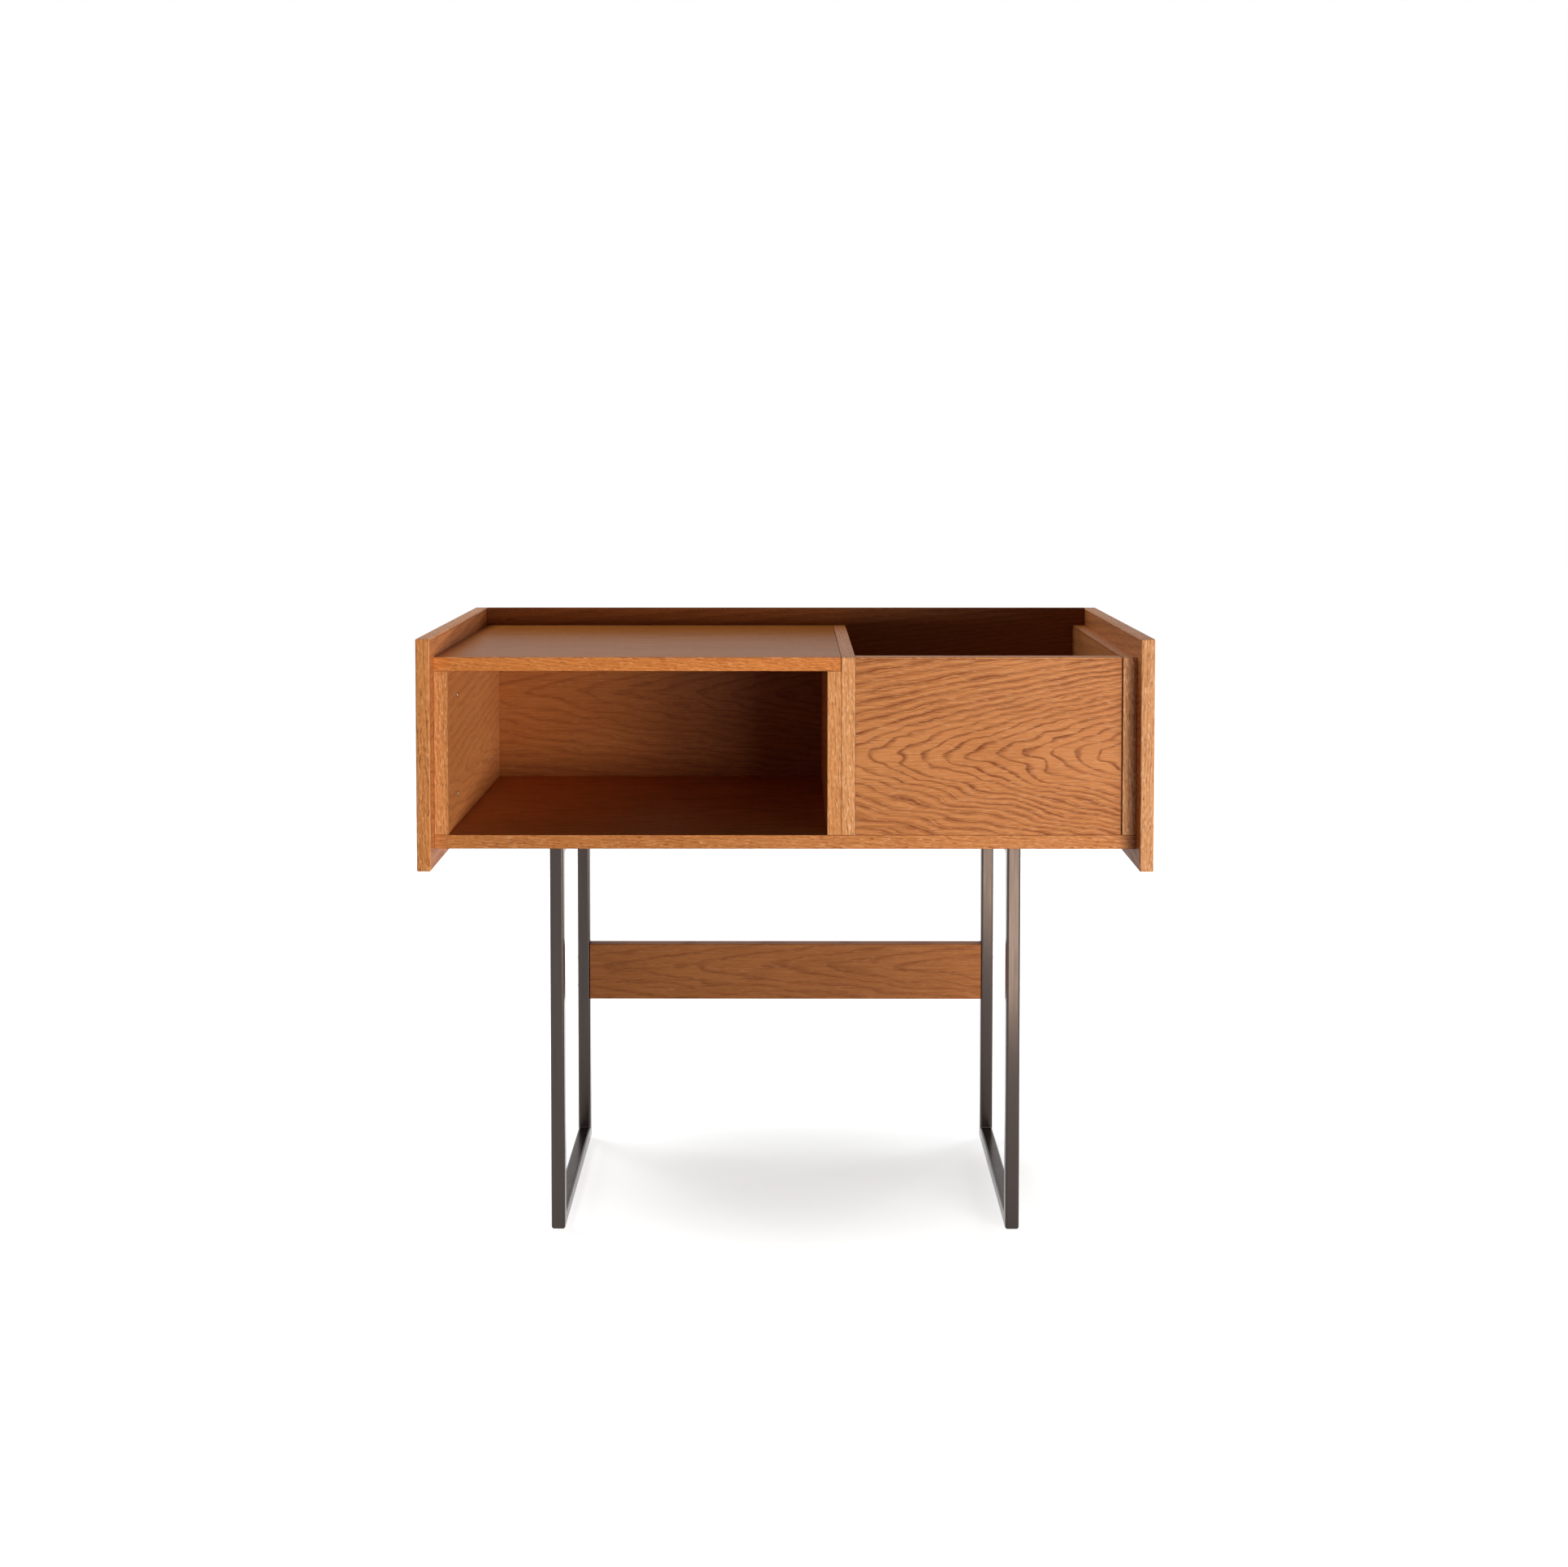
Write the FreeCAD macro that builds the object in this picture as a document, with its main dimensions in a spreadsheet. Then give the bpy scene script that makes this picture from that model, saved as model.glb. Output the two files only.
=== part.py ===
"""Media console: a lipped oak carcass with an equipment bay and an open bin, on two steel sled frames.

Frame: +X to the right, +Y to the back, +Z up, origin on the floor under the middle of the footprint.
Lengths are millimetres.
"""
import FreeCAD, Part
import math
import os
import re

import Sketcher

Vector = FreeCAD.Vector

SIZES = {
    # Outside of the cabinet
    "overall_width": 936,
    "overall_depth": 430,
    "carcass_height": 514,
    "rim_height": 26,
    "skirt_drop": 24,
    "front_reveal": 24,
    # Boards and their solid lippings
    "board": 18,
    "back_board": 8,
    "lipping": 3,
    "side_arris": 2,
    "carcass_arris": 0.7,
    "back_arris": 1,
    # Equipment bay and bin
    "bay_width": 486,
    "bay_height": 211,
    "top_gap": 0.5,
    "bin_front_gap": 1.5,
    "cable_hole": 44,
    "cable_drop": 25,
    # Leg frames of square tube
    "frame_spread": 614,
    "frame_depth": 316,
    "tube": 18,
    "tube_wall": 1.5,
    "tube_corner": 3,
    "frame_corner": 4,
    "inner_corner": 1,
    "pad_thickness": 2,
    "pad_diameter": 14,
    "pad_inset": 40,
    # Stretcher between the rear legs
    "stretcher_height": 82,
    "stretcher_low": 213,
    "stretcher_arris": 1,
    # Dowels
    "dowel_diameter": 8,
    "dowel_length": 30,
    "dowel_in_face": 11,
    "dowel_inset": 45,
    "side_dowel_inset": 90,
    "front_dowel_inset": 55,
    # Screws that hold the side panels and the back panel
    "side_screw_diameter": 4,
    "side_screw_length": 30,
    "side_screw_head": 8,
    "side_screw_inset": 65,
    "side_screw_rise": 40,
    "back_screw_diameter": 3.5,
    "back_screw_length": 25,
    "back_screw_head": 7,
    "back_screw_inset": 60,
    "screw_head_height": 2.5,
    # Bolts, threaded inserts and access plugs
    "bolt_diameter": 6,
    "bolt_head": 10.5,
    "bolt_head_height": 3.3,
    "bolt_socket": 4,
    "bolt_socket_depth": 2,
    "bolt_in_insert": 12,
    "bolt_inset": 60,
    "stretcher_bolt_inset": 20,
    "insert_diameter": 10,
    "insert_length": 13,
    "plug_diameter": 12,
    "plug_length": 3,
    # Fits
    "bolt_clearance": 0.3,
    "drill_clearance": 0.1,
    "drill_end": 1,
    "overrun": 5,
}

# Planes of the console, each a formula of the sizes and of the planes above it.
PLANES = {
    "left_outer": "-overall_width / 2",
    "left_inner": "left_outer + board",
    "bay_left": "left_inner + board",
    "bay_right": "bay_left + bay_width",
    "upright_right": "bay_right + board",
    "bin_left": "upright_right + board",
    "right_outer": "overall_width / 2",
    "right_inner": "right_outer - board",
    "bin_right": "right_inner - board",
    "side_front": "-overall_depth / 2",
    "carcass_front": "side_front + front_reveal",
    "core_front": "carcass_front + lipping",
    "back_outer": "overall_depth / 2",
    "back_inner": "back_outer - back_board",
    "underside": "carcass_height",
    "floor_top": "underside + board",
    "bay_top": "floor_top + bay_height",
    "deck": "bay_top + board",
    "side_top": "deck + rim_height",
    "side_low": "underside - skirt_drop",
    "frame_front": "-frame_depth / 2",
    "frame_rear": "frame_depth / 2",
    "frame_right": "frame_spread / 2",
    "rear_leg": "frame_rear - tube / 2",
    "stretcher_end": "frame_right - tube",
    "dowel_in_edge": "dowel_length - dowel_in_face",
    "board_middle_depth": "(core_front + back_inner) / 2",
}

doc = FreeCAD.newDocument("MediaConsole")
sheet = doc.addObject("Spreadsheet::Sheet", "Sizes")
for row, (alias, length) in enumerate(SIZES.items(), 1):
    sheet.set(f"A{row}", alias)
    sheet.set(f"B{row}", str(length))
    sheet.setAlias(f"B{row}", alias)
doc.recompute()

nodes = []


def bind(formula):
    """The formula as an expression: every plane written out, every size pointing at its cell."""
    def cell(match):
        word = match.group()
        if word in PLANES:
            return "(" + bind(PLANES[word]) + ")"
        return "Sizes." + word
    return re.sub("[a-z_]+", cell, formula)


def value(formula):
    """What the formula comes to with the sizes as they are, to start a sketch near its final shape."""
    return float(sheet.evalExpression(bind(formula)))


def span(pair):
    """The formula for the length between two planes."""
    return f"({pair[1]}) - ({pair[0]})"


def middle(pair):
    """The formula for the plane half-way between two planes."""
    return f"(({pair[0]}) + ({pair[1]})) / 2"


def place(thing, corner):
    """Bind the three coordinates of the thing's origin."""
    for axis, formula in zip("xyz", corner):
        thing.setExpression("Placement.Base." + axis, bind(formula))


def keep(thing, label):
    """Name a finished piece and put it on the list that is written out."""
    thing.Label = label
    nodes.append(thing)
    return thing


def sketch_on(body, name, plane, lift):
    """An empty sketch on one of the body's own origin planes, lifted along that plane's normal."""
    sketch = body.newObject("Sketcher::SketchObject", name)
    support = next(feature for feature in body.Origin.OriginFeatures if feature.Role == plane)
    sketch.AttachmentSupport = [(support, "")]
    sketch.MapMode = "FlatFace"
    sketch.setExpression("AttachmentOffset.Base.z", bind(lift))
    return sketch


def dimension(sketch, name, kind, ends, formula):
    """A named dimension of a sketch, bound to a formula."""
    index = sketch.addConstraint(Sketcher.Constraint(kind, *ends, value(formula)))
    sketch.renameConstraint(index, name)
    sketch.setExpression("Constraints." + name, bind(formula))


def rectangle(sketch, wide, tall):
    """A rectangle with one corner at the sketch's origin."""
    x, y = value(wide), value(tall)
    corners = [Vector(0, 0), Vector(x, 0), Vector(x, y), Vector(0, y)]
    for start, end in zip(corners, corners[1:] + corners[:1]):
        sketch.addGeometry(Part.LineSegment(start, end))
    for side in range(4):
        sketch.addConstraint(Sketcher.Constraint("Coincident", side, 2, (side + 1) % 4, 1))
        sketch.addConstraint(Sketcher.Constraint("Vertical" if side % 2 else "Horizontal", side))
    sketch.addConstraint(Sketcher.Constraint("Coincident", 0, 1, -1, 1))
    dimension(sketch, "wide", "DistanceX", (0, 1, 0, 2), wide)
    dimension(sketch, "tall", "DistanceY", (1, 1, 1, 2), tall)


def rounded_rectangle(sketch, margin, wide, tall, radius):
    """A rectangle with rounded corners, its lower left a margin in from the sketch's origin."""
    low, r = value(margin), value(radius)
    right, top = low + value(wide), low + value(tall)
    sides = [
        (Vector(low + r, low), Vector(right - r, low)),
        (Vector(right, low + r), Vector(right, top - r)),
        (Vector(right - r, top), Vector(low + r, top)),
        (Vector(low, top - r), Vector(low, low + r)),
    ]
    centres = [(right - r, low + r), (right - r, top - r), (low + r, top - r), (low + r, low + r)]
    for start, end in sides:
        sketch.addGeometry(Part.LineSegment(start, end))
    for quarter, (x, y) in enumerate(centres, -1):
        circle = Part.Circle(Vector(x, y), Vector(0, 0, 1), r)
        turn = math.pi / 2
        sketch.addGeometry(Part.ArcOfCircle(circle, quarter * turn, (quarter + 1) * turn))
    for side in range(4):
        sketch.addConstraint(Sketcher.Constraint("Tangent", side, 2, side + 4, 1))
        sketch.addConstraint(Sketcher.Constraint("Tangent", side + 4, 2, (side + 1) % 4, 1))
        sketch.addConstraint(Sketcher.Constraint("Vertical" if side % 2 else "Horizontal", side))
    for corner in range(5, 8):
        sketch.addConstraint(Sketcher.Constraint("Equal", 4, corner))
    dimension(sketch, "radius", "Radius", (4,), radius)
    dimension(sketch, "wide", "DistanceX", (3, 1, 1, 1), wide)
    dimension(sketch, "tall", "DistanceY", (0, 1, 2, 1), tall)
    if margin == "0":
        sketch.addConstraint(Sketcher.Constraint("PointOnObject", 3, 1, -2))
        sketch.addConstraint(Sketcher.Constraint("PointOnObject", 0, 1, -1))
    else:
        dimension(sketch, "left", "DistanceX", (-1, 1, 3, 1), margin)
        dimension(sketch, "low", "DistanceY", (-1, 1, 0, 1), margin)


def block(name, x, y, z, arris=None, glued=()):
    """A straight piece between pairs of planes, its edges eased except those on its glued faces.

    A glued face is named by its axis and end: y0 is the front, y1 the rear, z1 the top.
    """
    body = doc.addObject("PartDesign::Body", name)
    outline = sketch_on(body, "Outline", "XY_Plane", "0")
    rectangle(outline, span(x), span(y))
    pad = body.newObject("PartDesign::Pad", "Thickness")
    pad.Profile = outline
    pad.setExpression("Length", bind(span(z)))
    place(body, (x[0], y[0], z[0]))
    if arris is None:
        return body
    doc.recompute()
    faces = {"x0": 0, "x1": value(span(x)), "y0": 0, "y1": value(span(y)), "z0": 0, "z1": value(span(z))}
    tiny_share = 1e-4

    def is_eased(edge):
        centre = edge.CenterOfMass
        reach = max(faces.values()) * tiny_share
        return all(abs(getattr(centre, face[0]) - faces[face]) > reach for face in glued)

    eased = [f"Edge{i}" for i, edge in enumerate(pad.Shape.Edges, 1) if is_eased(edge)]
    fillet = body.newObject("PartDesign::Fillet", "EasedEdges")
    fillet.Base = (pad, eased)
    fillet.setExpression("Radius", bind(arris))
    return body


def pegs(name, axis, centres, stages):
    """Round pegs side by side along one axis, each made of one or more (start, length, diameter) stages.

    The centres are pairs of planes on the two other axes, in X, Y, Z order.
    """
    body = doc.addObject("PartDesign::Body", name)
    place(body, ("left_outer", "side_front", "0"))
    origin = {"x": "left_outer", "y": "side_front", "z": "0"}
    plane = {"x": "YZ_Plane", "y": "XZ_Plane", "z": "XY_Plane"}[axis]
    across, along = [other for other in "xyz" if other != axis]
    for number, (start, length, diameter) in enumerate(stages):
        lift = f"({start}) - ({origin[axis]})"
        sketch = sketch_on(body, f"Circles{number}", plane, f"-({lift})" if axis == "y" else lift)
        for index, (u, v) in enumerate(centres):
            u = f"({u}) - ({origin[across]})"
            v = f"({v}) - ({origin[along]})"
            circle = Part.Circle(Vector(value(u), value(v)), Vector(0, 0, 1), value(diameter) / 2)
            sketch.addGeometry(circle)
            dimension(sketch, f"across_{index}", "DistanceX", (-1, 1, index, 3), u)
            dimension(sketch, f"along_{index}", "DistanceY", (-1, 1, index, 3), v)
            if index:
                sketch.addConstraint(Sketcher.Constraint("Equal", 0, index))
        dimension(sketch, "diameter", "Diameter", (0,), diameter)
        pad = body.newObject("PartDesign::Pad", f"Stage{number}")
        pad.Profile = sketch
        pad.setExpression("Length", bind(length))
        pad.Reversed = axis == "y"
    return body


def both_sides(make, name, centres, stages):
    """The same pegs or sockets along X at the left and at the right, from the stages of the right ones."""
    mirrored = [(f"-(({start}) + ({length}))", length, *rest) for start, length, *rest in stages]
    return [make(name + "_left", "x", centres, mirrored), make(name + "_right", "x", centres, stages)]


def sockets(name, axis, centres, stages):
    """Six-sided sockets in bolt heads, as one tool, from (start, length, width across flats) stages."""
    turn = {"x": FreeCAD.Rotation(Vector(0, 1, 0), 90), "z": FreeCAD.Rotation()}[axis]
    tools = []
    for start, length, across_flats in stages:
        for pair in centres:
            prism = doc.addObject("Part::Prism", f"{name}_{len(tools)}")
            prism.Polygon = 6
            prism.setExpression("Circumradius", bind(f"({across_flats}) / 2") + " / cos(30 deg)")
            prism.setExpression("Height", bind(length))
            prism.Placement = FreeCAD.Placement(Vector(), turn)
            place(prism, (start, *pair) if axis == "x" else (*pair, start))
            tools.append(prism)
    return gather(name, tools)


def gather(name, things):
    """Several solids as one object."""
    if len(things) == 1:
        return things[0]
    group = doc.addObject("Part::Compound", name)
    group.Links = list(things)
    return group


def drilled(label, blank, drills):
    """A piece with its holes: the blank less its drills."""
    cut = doc.addObject("Part::Cut", label)
    cut.Base = blank
    cut.Tool = gather(label + "_drills", drills)
    return keep(cut, label)


def loop(name, inset, corner):
    """A closed frame of square section, mitred at its corners, drawn in on all sides by an inset.

    It stands for a leg frame's outside, and with the tube's wall as inset for the hollow inside it.
    """
    body = doc.addObject("PartDesign::Body", name)
    for part, kind, margin, radius in (
        ("Outside", "Pad", inset, f"frame_corner - {inset}"),
        ("Opening", "Pocket", f"tube - {inset}", f"inner_corner + {inset}"),
    ):
        outline = sketch_on(body, part + "Line", "YZ_Plane", inset)
        wide = f"frame_depth - 2 * ({margin})"
        tall = f"underside - pad_thickness - 2 * ({margin})"
        rounded_rectangle(outline, margin, wide, tall, radius)
        doc.recompute()
        feature = body.newObject("PartDesign::" + kind, part)
        feature.Profile = outline
        if kind == "Pad":
            feature.setExpression("Length", bind(f"tube - 2 * {inset}"))
        else:
            feature.Type = "ThroughAll"
            feature.Reversed = True
    doc.recompute()
    tiny_share = 1e-4
    flat = value("tube") * tiny_share
    eased = [f"Edge{i}" for i, edge in enumerate(feature.Shape.Edges, 1) if edge.BoundBox.XLength < flat]
    fillet = body.newObject("PartDesign::Fillet", "EasedEdges")
    fillet.Base = (feature, eased)
    fillet.setExpression("Radius", bind(corner))
    return body


def grid(firsts, seconds):
    """Every pairing of two lists of planes."""
    return [(first, second) for first in firsts for second in seconds]


# Dowels and the holes that take them

depth_rows = ["core_front + dowel_inset", "board_middle_depth", "back_inner - dowel_inset"]
uprights = [("left_inner", "bay_left"), ("bay_right", "upright_right")]
bin_walls = [("upright_right", "bin_left"), ("bin_right", "right_inner")]
dowel_drill = "dowel_diameter + 2 * drill_clearance"
dowel_bore = "dowel_length + 2 * drill_end"

floor_centres = grid([middle(pair) for pair in uprights + bin_walls], depth_rows)
floor_start = "floor_top - dowel_in_face"
floor_dowels = pegs("floor_dowels", "z", floor_centres, [(floor_start, "dowel_length", "dowel_diameter")])
keep(floor_dowels, "floor_dowels")
floor_stage = (floor_start + " - drill_end", dowel_bore, dowel_drill)
floor_drills = pegs("floor_drills", "z", floor_centres, [floor_stage])

top_centres = grid([middle(pair) for pair in uprights], depth_rows)
top_start = "bay_top - dowel_in_edge"
top_dowels = pegs("top_dowels", "z", top_centres, [(top_start, "dowel_length", "dowel_diameter")])
keep(top_dowels, "top_dowels")
top_drills = pegs("top_drills", "z", top_centres, [(top_start + " - drill_end", dowel_bore, dowel_drill)])

front_rows = ["floor_top + front_dowel_inset", "deck - front_dowel_inset"]
front_centres = grid(["carcass_front + board / 2"], front_rows)
front_dowels = []
front_drills = []
for side, start in (("left", "bin_left - dowel_in_face"), ("right", "bin_right - dowel_in_edge")):
    dowel = (start, "dowel_length", "dowel_diameter")
    drill = (start + " - drill_end", dowel_bore, dowel_drill)
    front_dowels.append(pegs(f"front_dowels_{side}", "x", front_centres, [dowel]))
    front_drills.append(pegs(f"front_drills_{side}", "x", front_centres, [drill]))
keep(gather("bin_front_dowels", front_dowels), "bin_front_dowels")

side_rows = ["core_front + side_dowel_inset", "back_inner - side_dowel_inset"]
side_centres = grid(side_rows, ["underside + board / 2"])
side_start = "right_inner - dowel_in_edge"
side_dowels = both_sides(pegs, "side_dowel", side_centres, [(side_start, "dowel_length", "dowel_diameter")])
keep(gather("side_dowels", side_dowels), "side_dowels")
side_drills = both_sides(pegs, "side_drill", side_centres, [
    (side_start + " - drill_end", dowel_bore, dowel_drill),
])


# Screws that hold the side panels and the back panel

screw_rows = ["core_front + side_screw_inset", "back_inner - side_screw_inset"]
screw_heights = ["floor_top + side_screw_rise", "bay_top - side_screw_rise"]
screw_centres = grid(screw_rows, screw_heights)
side_screws = both_sides(pegs, "side_screw", screw_centres, [
    ("bin_right", "side_screw_length", "side_screw_diameter"),
    ("bin_right", "screw_head_height", "side_screw_head"),
])
keep(gather("side_screws", side_screws), "side_screws")
screw_drills = both_sides(pegs, "screw_drill", screw_centres, [
    ("bin_right", "side_screw_length + drill_end", "side_screw_diameter + 2 * drill_clearance"),
    ("bin_right - overrun", "screw_head_height + overrun", "side_screw_head + 2 * drill_clearance"),
])

bay_middle = middle(("bay_left", "bay_right"))
column_shares = ["-1", "-1 / 3", "1 / 3", "1"]
low_columns = [f"({share}) * (right_inner - back_screw_inset)" for share in column_shares]
top_columns = ["left_inner + back_screw_inset", bay_middle, "bay_right - back_screw_inset"]
upright_rows = ["floor_top + back_screw_inset", "bay_top - back_screw_inset"]
back_centres = grid(low_columns, ["underside + board / 2"])
back_centres += grid(top_columns, ["bay_top + board / 2"])
back_centres += grid([middle(pair) for pair in uprights + bin_walls], upright_rows)
back_tip = "back_outer - back_screw_length"
back_head = "back_outer - screw_head_height"
back_screws = pegs("back_screws", "y", back_centres, [
    (back_tip, "back_screw_length", "back_screw_diameter"),
    (back_head, "screw_head_height", "back_screw_head"),
])
keep(back_screws, "back_screws")
back_drills = pegs("back_drills", "y", back_centres, [
    (back_tip + " - drill_end", "back_screw_length + drill_end", "back_screw_diameter + 2 * drill_clearance"),
    (back_head, "screw_head_height + overrun", "back_screw_head + 2 * drill_clearance"),
])


# Bolts up through the leg frames into inserts in the bottom panel

frame_middles = ["-(frame_right - tube / 2)", "frame_right - tube / 2"]
bolt_centres = grid(frame_middles, ["frame_front + bolt_inset", "0", "frame_rear - bolt_inset"])
rail_low = "underside - tube"
bolt_drill = "bolt_diameter + 2 * bolt_clearance"
insert_drill = "insert_diameter + 2 * drill_clearance"
socket_bore = "bolt_socket_depth + overrun"
leg_bolt_blank = pegs("leg_bolt_blank", "z", bolt_centres, [
    (rail_low, "tube + bolt_in_insert", "bolt_diameter"),
    (rail_low + " - bolt_head_height", "bolt_head_height", "bolt_head"),
])
leg_sockets = sockets("leg_sockets", "z", bolt_centres, [
    (rail_low + " - bolt_head_height - overrun", socket_bore, "bolt_socket"),
])
drilled("leg_bolts", leg_bolt_blank, [leg_sockets])
leg_drills = pegs("leg_drills", "z", bolt_centres, [
    (rail_low + " - overrun", "tube + insert_length + 2 * overrun", bolt_drill),
])
insert_blank = pegs("insert_blank", "z", bolt_centres, [("underside", "insert_length", "insert_diameter")])
drilled("leg_inserts", insert_blank, [leg_drills])
insert_drills = pegs("insert_drills", "z", bolt_centres, [
    ("underside - overrun", "overrun + insert_length + drill_end", insert_drill),
])


# Bolts inside the rear legs into inserts in the stretcher's ends, and plugs in their access holes

stretcher_top = "stretcher_low + stretcher_height"
end_rows = ["stretcher_low + stretcher_bolt_inset", stretcher_top + " - stretcher_bolt_inset"]
end_centres = grid(["rear_leg"], end_rows)
seat = "stretcher_end + tube_wall"
thread_end = "stretcher_end - bolt_in_insert"
thread = "tube_wall + bolt_in_insert"
end_bolts = both_sides(pegs, "end_bolt", end_centres, [
    (thread_end, thread, "bolt_diameter"),
    (seat, "bolt_head_height", "bolt_head"),
])
end_sockets = both_sides(sockets, "end_socket", end_centres, [
    (seat + " + bolt_head_height - bolt_socket_depth", socket_bore, "bolt_socket"),
])
drilled("stretcher_bolts", gather("end_bolts", end_bolts), end_sockets)
end_bores = both_sides(pegs, "end_bore", end_centres, [
    (thread_end + " - overrun", thread + " + overrun", bolt_drill),
])
end_inserts = both_sides(pegs, "end_insert", end_centres, [
    ("stretcher_end - insert_length", "insert_length", "insert_diameter"),
])
drilled("stretcher_inserts", gather("end_inserts", end_inserts), end_bores)
end_insert_drills = both_sides(pegs, "end_insert_drill", end_centres, [
    ("stretcher_end - insert_length - drill_end", "insert_length + drill_end + overrun", insert_drill),
])
plug_start = "frame_right - plug_length"
plugs = both_sides(pegs, "plug", end_centres, [(plug_start, "plug_length", "plug_diameter")])
keep(gather("tube_plugs", plugs), "tube_plugs")
plug_drills = both_sides(pegs, "plug_drill", end_centres, [
    (plug_start, "plug_length + overrun", "plug_diameter + 2 * drill_clearance"),
])

pad_centres = grid(frame_middles, ["frame_front + pad_inset", "frame_rear - pad_inset"])
floor_pads = pegs("floor_pads", "z", pad_centres, [("0", "pad_thickness", "pad_diameter")])
keep(floor_pads, "floor_pads")


# Carcass boards and their lippings

core_depth = ("core_front", "back_inner")
lipping_depth = ("carcass_front", "core_front")
low_edge = ("floor_top", "bay_top")
wall_core = ("floor_top", "deck - lipping")
wall_top = ("deck - lipping", "deck")

for side, x, drills in (
    ("left", ("left_outer", "left_inner"), [side_drills[0], screw_drills[0]]),
    ("right", ("right_inner", "right_outer"), [side_drills[1], screw_drills[1]]),
):
    core_y = ("side_front + lipping", "back_outer - lipping")
    core_z = ("side_low + lipping", "side_top - lipping")
    drilled(f"side_panel_{side}", block(f"side_{side}_blank", x, core_y, core_z), drills)
    full_z = ("side_low", "side_top")
    for edge, y, z, glued in (
        ("front", ("side_front", "side_front + lipping"), full_z, ["y1"]),
        ("rear", ("back_outer - lipping", "back_outer"), full_z, ["y0"]),
        ("top", core_y, ("side_top - lipping", "side_top"), ["z0", "y0", "y1"]),
        ("bottom", core_y, ("side_low", "side_low + lipping"), ["z1", "y0", "y1"]),
    ):
        label = f"side_{side}_{edge}_lipping"
        keep(block(label, x, y, z, "side_arris", glued), label)

inner = ("left_inner", "right_inner")
base_z = ("underside", "floor_top")
base_drills = [floor_drills, insert_drills, back_drills, *side_drills]
drilled("bottom_panel", block("bottom_blank", inner, core_depth, base_z), base_drills)
bottom_lipping = block("bottom_lipping", inner, lipping_depth, base_z, "carcass_arris", ["y1", "x0", "x1"])
keep(bottom_lipping, "bottom_front_lipping")

deck_x = ("left_inner", "upright_right - top_gap")
deck_z = ("bay_top", "deck")
drilled("top_panel", block("top_blank", deck_x, core_depth, deck_z), [top_drills, back_drills])
top_lipping = block("top_lipping", deck_x, lipping_depth, deck_z, "carcass_arris", ["y1", "x0", "x1"])
keep(top_lipping, "top_front_lipping")

for side, x, extra in (("left", uprights[0], [screw_drills[0]]), ("right", uprights[1], [])):
    drills = [floor_drills, top_drills, back_drills, *extra]
    drilled(f"bay_upright_{side}", block(f"upright_{side}_blank", x, core_depth, low_edge), drills)
    label = f"bay_{side}_lipping"
    keep(block(label, x, lipping_depth, low_edge, "carcass_arris", ["y1", "z0", "z1"]), label)

for side, x, extra in (
    ("left", bin_walls[0], [front_drills[0]]),
    ("right", bin_walls[1], [front_drills[1], screw_drills[1]]),
):
    drills = [floor_drills, back_drills, *extra]
    drilled(f"bin_wall_{side}", block(f"wall_{side}_blank", x, core_depth, wall_core), drills)
    label = f"bin_{side}_front_lipping"
    keep(block(label, x, lipping_depth, ("floor_top", "deck"), "carcass_arris", ["y1", "z0"]), label)
    label = f"bin_{side}_top_lipping"
    keep(block(label, x, core_depth, wall_top, "carcass_arris", ["z0", "y0", "y1"]), label)

front_x = ("bin_left", "bin_right - bin_front_gap")
front_y = ("carcass_front", "carcass_front + board")
drilled("bin_front", block("bin_front_blank", front_x, front_y, wall_core), front_drills)
front_lipping = block("front_lipping", front_x, front_y, wall_top, "carcass_arris", ["z0", "x0", "x1"])
keep(front_lipping, "bin_front_lipping")

back_y = ("back_inner", "back_outer")
back_blank = block("back_blank", inner, back_y, ("side_low", "side_top"), "back_arris", ["x0", "x1"])
cable_centre = (bay_middle, "bay_top - cable_drop")
cable_drill = pegs("cable_drill", "y", [cable_centre], [
    ("back_inner - overrun", "back_board + 2 * overrun", "cable_hole"),
])
drilled("back_panel", back_blank, [back_drills, cable_drill])


# Leg frames and stretcher

for side, start, bores, access in (
    ("left", "-(frame_right)", end_bores[0], plug_drills[0]),
    ("right", "stretcher_end", end_bores[1], plug_drills[1]),
):
    tube = loop(f"frame_{side}_blank", "0", "tube_corner")
    hollow = loop(f"frame_{side}_hollow", "tube_wall", "tube_corner - tube_wall")
    for ring in (tube, hollow):
        place(ring, (start, "frame_front", "pad_thickness"))
    drilled(f"leg_frame_{side}", tube, [leg_drills, bores, access, hollow])

stretcher_x = ("-(stretcher_end)", "stretcher_end")
stretcher_y = ("rear_leg - board / 2", "rear_leg + board / 2")
stretcher_z = ("stretcher_low", stretcher_top)
ends = ["x0", "x1"]
stretcher_blank = block("stretcher_blank", stretcher_x, stretcher_y, stretcher_z, "stretcher_arris", ends)
drilled("stretcher", stretcher_blank, end_insert_drills)


# Check every piece, then write it out

doc.recompute()
failed = [thing.Name for thing in doc.Objects if {"Invalid", "Error"} & set(thing.State)]
failed += [node.Label for node in nodes if node.Shape.isNull() or not node.Shape.isValid()]
if failed:
    raise RuntimeError("these pieces failed: " + ", ".join(failed))
os.makedirs("parts", exist_ok=True)
for node in nodes:
    node.Shape.exportStep(f"parts/{node.Label}.step")
    print(node.Label, len(node.Shape.Solids), round(node.Shape.Volume))
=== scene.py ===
"""Looks of the oak media console, laid out as a Blender add-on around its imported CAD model.

The boards, lippings, leg frames, dowels, bolts and inserts are the CAD's own solids, dressed in procedural
oak, steel, beech and zinc. The screws, access plugs and felt pads are new surfaces that stand for their CAD
solids.
Frame: +X to the right, +Y to the back, +Z up, metres, origin on the floor under the middle of the footprint.
"""
import math
from collections import namedtuple

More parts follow.
